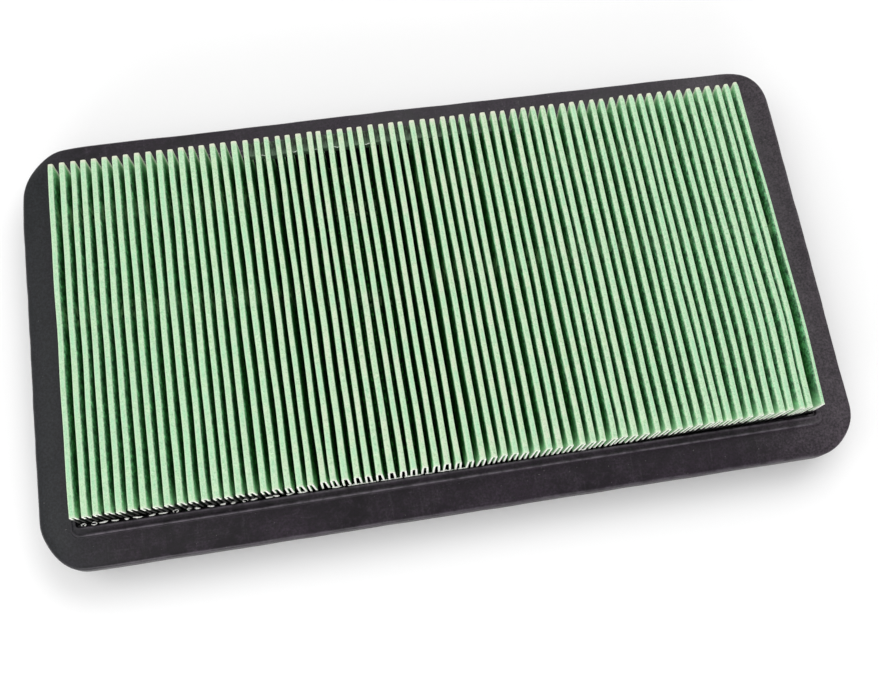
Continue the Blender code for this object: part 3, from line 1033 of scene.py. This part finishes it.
def thread(path, radius):
    """A thread of set glue along a path, with closed ends. Vertices and faces."""
    path = np.array(path)
    sides = 6
    vertices = []
    for number, point in enumerate(path):
        ahead = path[min(number + 1, len(path) - 1)] - path[max(number - 1, 0)]
        ahead /= np.linalg.norm(ahead)
        side = np.cross(ahead, (0.0, 0.0, 1.0))
        side /= np.linalg.norm(side)
        up = np.cross(side, ahead)
        end = number in (0, len(path) - 1)
        thick = radius * (0.45 if end else 1.0 + 0.25 * math.sin(2.3 * number))
        for step in range(sides):
            turn = 2 * math.pi * step / sides
            vertices.append(point + thick * (math.cos(turn) * side + math.sin(turn) * up))
    return vertices, tube_faces(len(path), sides)


def joined(name, shapes, smooth_angle=60):
    """One object from several closed shapes."""
    vertices, faces = [], []
    for shape_vertices, shape_faces in shapes:
        start = len(vertices)
        vertices += list(shape_vertices)
        faces += [tuple(start + corner for corner in face) for face in shape_faces]
    piece = mesh_object(name, vertices, faces, smooth_angle=smooth_angle)
    piece.data.materials.append(SQUEEZED_GLUE)
    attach(piece, "root")
    return piece


def build_near_bits():
    """Glue squeezed out along the near inner lip: lumps and loops at the left, threads after."""
    random = np.random.default_rng(SEED + 1)
    window_y = -(MEDIA_HALF_WIDTH + WINDOW_GAP)
    z = COLLAR_TOP_Z - 0.22 * MM
    shapes = []
    for pleat in range(PLEAT_COUNT):
        amount = LUMPS_AT_LEFT * smooth_step(-FOLDS.along[pleat], 0.36, 0.52) + LUMPS_ELSEWHERE
        lot, size, place, kind = random.uniform(size=4)
        if lot > amount:
            continue
        x = FOLDS.crown_x(pleat, -1.0) + (place - 0.5) * 1.6 * MM
        y = window_y + (0.34 + 0.16 * lot) * MM
        if kind < LOOP_SHARE:
            radius = (0.45 + 0.3 * size) * MM
            turns = np.linspace(0.6, 2 * math.pi - 0.2, 12) + 6.0 * place
            path = [
                (x + radius * math.cos(turn), y + 0.5 * radius * math.sin(turn), z + 0.2 * MM)
                for turn in turns
            ]
            shapes.append(thread(path, 0.14 * MM))
        else:
            reach = (0.80 + 0.65 * size) * MM
            half_size = np.array([reach, 0.30 * MM, 0.32 * MM])
            shapes.append(lump(random, np.array([x, y, z]), half_size))
    for pleat in THREAD_FOLDS:
        start, length, rise = random.uniform(size=3)
        if start > THREAD_SHARE:
            continue
        left = FOLDS.crown_x(pleat, -1.0) + 0.6 * MM
        reach = (1.4 + 2.4 * length) * MM
        path = []
        for share in np.linspace(0.0, 1.0, 9):
            lift = (0.25 * rise * math.sin(7 * share + pleat) - 0.1) * MM
            path.append((left + reach * share, window_y + 0.22 * MM, COLLAR_TOP_Z + lift))
        shapes.append(thread(path, 0.13 * MM))
    joined("glue_bits_near", shapes)


def valley_at(valley, y_share, depth):
    """Left and right side of the open valley after a ridge, at a depth below the crowns."""
    height = MEDIA_TOP_Z - MEDIA_BOTTOM_Z
    left = FOLDS.crown_x(valley, y_share) + FOLDS.crown_half(valley, y_share)
    right = FOLDS.crown_x(valley + 1, y_share) - FOLDS.crown_half(valley + 1, y_share)
    foot = FOLDS.valley_centre(valley, y_share)
    share = depth / height
    return left + (foot - SLOT / 2 - left) * share, right + (foot + SLOT / 2 - right) * share


def build_far_fill():
    """A thin film of glue over the far ends of some valleys, deeper and shorter to the right.

    A bright thread runs along part of its front.
    """
    random = np.random.default_rng(SEED + 2)
    stations = np.linspace(0.0, 1.0, 6)
    section = [(across, 0.28 * MM * math.sin(math.pi * across)) for across in np.linspace(0.0, 1.0, 5)]
    section += [(1.0, 2.4 * MM), (0.0, 2.4 * MM)]
    fills, fronts, beads = [], [], []
    for valley in range(FILL_FIRST, FILL_LAST):
        jitter, sink, lift = random.uniform(size=3)
        fade = float(smooth_step(valley, FILL_FADE, FILL_LAST))
        far_y = FOLDS.far_end(FOLDS.along[valley])
        front_y = far_y - (4.5 + 0.5 * jitter - 0.6 * fade) * MM
        back_y = far_y + 0.55 * MM
        front_depth = (1.1 + 0.6 * sink + 3.2 * fade) * MM
        back_depth = front_depth + 1.2 * MM
        vertices = []
        for station in stations:
            y = front_y + (back_y - front_y) * station
            depth = front_depth + (back_depth - front_depth) * station
            depth += 0.12 * MM * math.sin(9 * station + valley)
            left, right = valley_at(valley, y / MEDIA_HALF_WIDTH, depth)
            for across, dip in section:
                vertices.append((left + (right - left) * across, y, MEDIA_TOP_Z - depth - dip))
        fills.append((vertices, tube_faces(len(stations), len(section))))
        fronts += [1.0 - station for station in stations for _ in section]
        left, right = valley_at(valley, front_y / MEDIA_HALF_WIDTH, front_depth)
        path = []
        for across in np.linspace(0.0, 1.0, 6):
            sag = 0.25 * math.sin(math.pi * across) - 0.12 * lift
            y = front_y + 0.15 * MM * math.sin(5 * across + valley)
            z = MEDIA_TOP_Z - front_depth + (0.05 - sag) * MM
            path.append((left + (right - left) * across, y, z))
        needed = 0.12 if valley < BEAD_DENSE_LAST else 0.62
        if valley < BEAD_LAST and lift > needed:
            beads.append(thread(path, (0.08 + 0.04 * lift - 0.03 * fade) * MM))
    fill = joined("glue_film_far", fills, smooth_angle=50)
    point_attribute(fill, "front", fronts)
    fill.data.materials.clear()
    fill.data.materials.append(film_material())
    joined("glue_thread_far", beads)


# ---- studio


CAMERA_TARGET = Vector((-0.67, -17.2, 14.0)) * MM
CAMERA_DISTANCE = 305.3 * MM
CAMERA_AZIMUTH = 22.6
CAMERA_ELEVATION = 72.52
CAMERA_ROLL = 13.8
CAMERA_LENS = 40.76

# Each light's name, place in metres, size in metres and power in watts
LIGHTS = (
    ("key", (0.32, 0.50, 0.75), (1.0, 0.6), 3.65),
    ("fill", (-0.50, 0.00, 0.68), (0.6, 0.6), 1.5),
    ("front", (-0.25, -0.80, 0.30), (0.9, 0.3), 3.9),
)
WORLD_STRENGTH = 0.6
FLOOR_HALF = 6.0
FLOOR_STOPS = ((0.3, (0.95, 0.95, 0.95)), (0.7, (0.97, 0.97, 0.97)))


def build_camera():
    azimuth, elevation = math.radians(CAMERA_AZIMUTH), math.radians(CAMERA_ELEVATION)
    level = math.cos(elevation)
    forward = Vector((math.sin(azimuth) * level, math.cos(azimuth) * level, -math.sin(elevation)))
    data = bpy.data.cameras.new("camera")
    data.sensor_width = 36.0
    data.lens = CAMERA_LENS
    data.clip_start = 0.01
    camera = bpy.data.objects.new("camera", data)
    bpy.context.scene.collection.objects.link(camera)
    turn = forward.to_track_quat("-Z", "Y").to_matrix()
    roll = Matrix.Rotation(math.radians(CAMERA_ROLL), 3, "Z")
    place = Matrix.Translation(CAMERA_TARGET - forward * CAMERA_DISTANCE)
    camera.matrix_world = place @ (turn @ roll).to_4x4()
    bpy.context.scene.camera = camera


def area_light(name, place, size, power):
    data = bpy.data.lights.new(name, "AREA")
    data.shape = "RECTANGLE"
    data.size, data.size_y = size
    data.energy = power
    light = bpy.data.objects.new(name, data)
    light.location = place
    light.rotation_euler = (-Vector(place)).to_track_quat("-Z", "Y").to_euler()
    bpy.context.scene.collection.objects.link(light)


def build_studio():
    bpy.context.scene.view_settings.view_transform = "Standard"
    world = bpy.data.worlds.new("studio")
    world.use_nodes = True
    background = world.node_tree.nodes["Background"]
    background.inputs["Color"].default_value = (1.0, 1.0, 1.0, 1.0)
    background.inputs["Strength"].default_value = WORLD_STRENGTH
    bpy.context.scene.world = world
    for light in LIGHTS:
        area_light(*light)

    corners = [(x * FLOOR_HALF, y * FLOOR_HALF, 0) for x, y in ((-1, -1), (1, -1), (1, 1), (-1, 1))]
    floor = mesh_object("floor", corners, [(0, 1, 2, 3)])
    floor.location.z = -0.02 * MM
    nodes = Nodes("pale_floor")
    cloud = nodes.noise(3.0)
    floor.data.materials.append(nodes.finish(nodes.ramp(cloud, FLOOR_STOPS), 0.9))


def main():
    build_camera()
    build_media()
    build_frame()
    build_glue()
    build_near_bits()
    build_far_fill()
    build_studio()


main()
